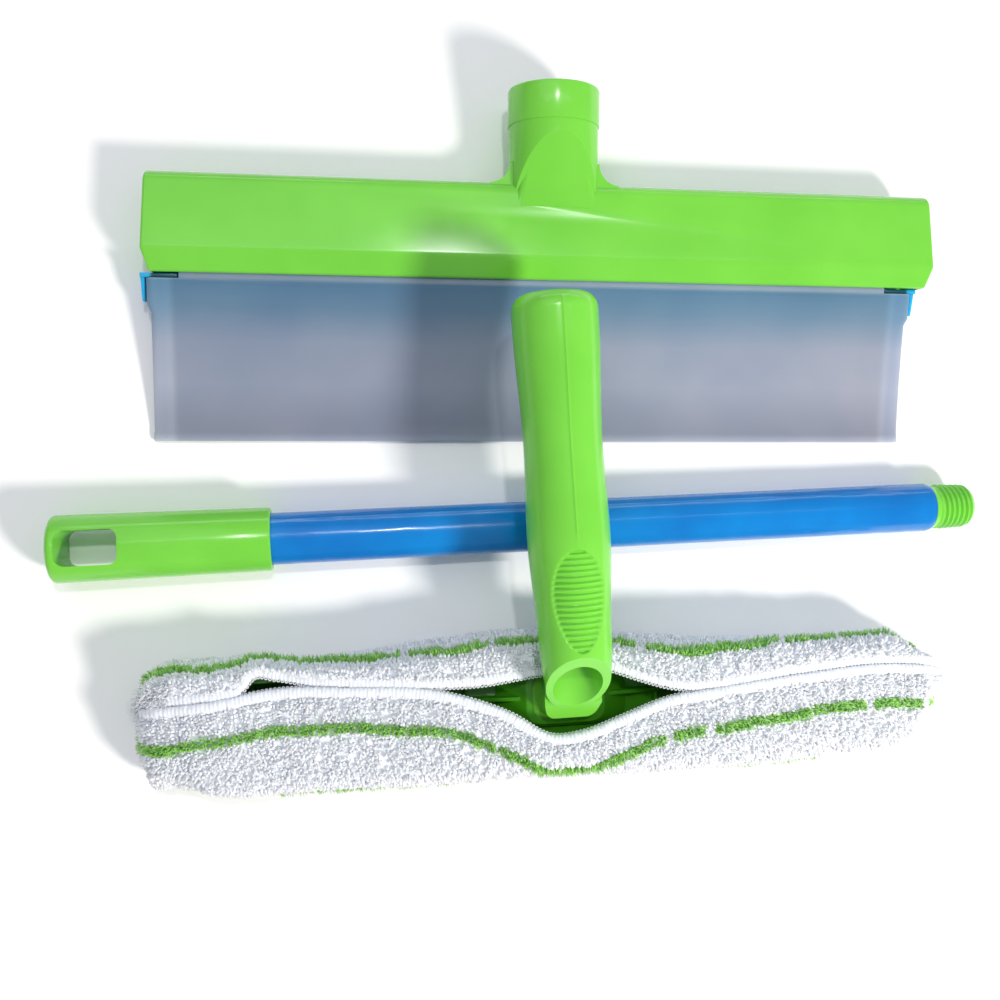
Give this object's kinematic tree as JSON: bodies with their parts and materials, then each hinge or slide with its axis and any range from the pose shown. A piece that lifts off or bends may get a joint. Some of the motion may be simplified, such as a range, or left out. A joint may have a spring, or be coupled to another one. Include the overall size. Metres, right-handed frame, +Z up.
{
  "type": "window cleaning squeegee kit",
  "caption": "Window squeegee head with a hollow silicone blade, a short screw-on pole with a hanging grip, and a scrubbing washer with a microfibre sleeve.",
  "frame": {"origin": "centre of the kit's footprint, on the table", "axes": "+X along the squeegee's bar to the right, +Y away from the user towards the head's socket, +Z up"},
  "size_m": [0.4054, 0.3064, 0.076],
  "materials": {
    "green_plastic": "moulded polypropylene, satin gloss",
    "green_plastic_inner": "moulded polypropylene, deeper green",
    "blue_plastic": "moulded polypropylene",
    "frosted_silicone": "frosted, translucent",
    "steel_tube": "drawn tube",
    "blue_film": "glossy shrunk film",
    "microfibre": "tufted pile with green stripes"
  },
  "bodies": {
    "head": {"head_shell": "green_plastic", "socket_bush": "green_plastic_inner"},
    "blade_cartridge": {"blade_core": "blue_plastic", "silicone_blade": "frosted_silicone"},
    "pole": {"pole_tube": "steel_tube", "pole_film": "blue_film", "pole_grip": "green_plastic", "thread_plug": "green_plastic"},
    "washer": {"washer_handle": "green_plastic", "washer_tray": "green_plastic_inner", "washer_sleeve": "microfibre"}
  },
  "joints": [
    {"name": "blade_slide", "type": "slide", "parent": "head", "child": "blade_cartridge", "axis": [0, -0.9907, -0.1359], "range_m": [0, 0.014]},
    {"name": "pole_slide", "type": "slide", "parent": "head", "child": "pole", "axis": [-0.9992, -0.0393, 0], "range_m": [0, 0.3]},
    {"name": "washer_lift", "type": "slide", "parent": "head", "child": "washer", "axis": [0, 0, 1], "range_m": [0, 0.15]}
  ]
}
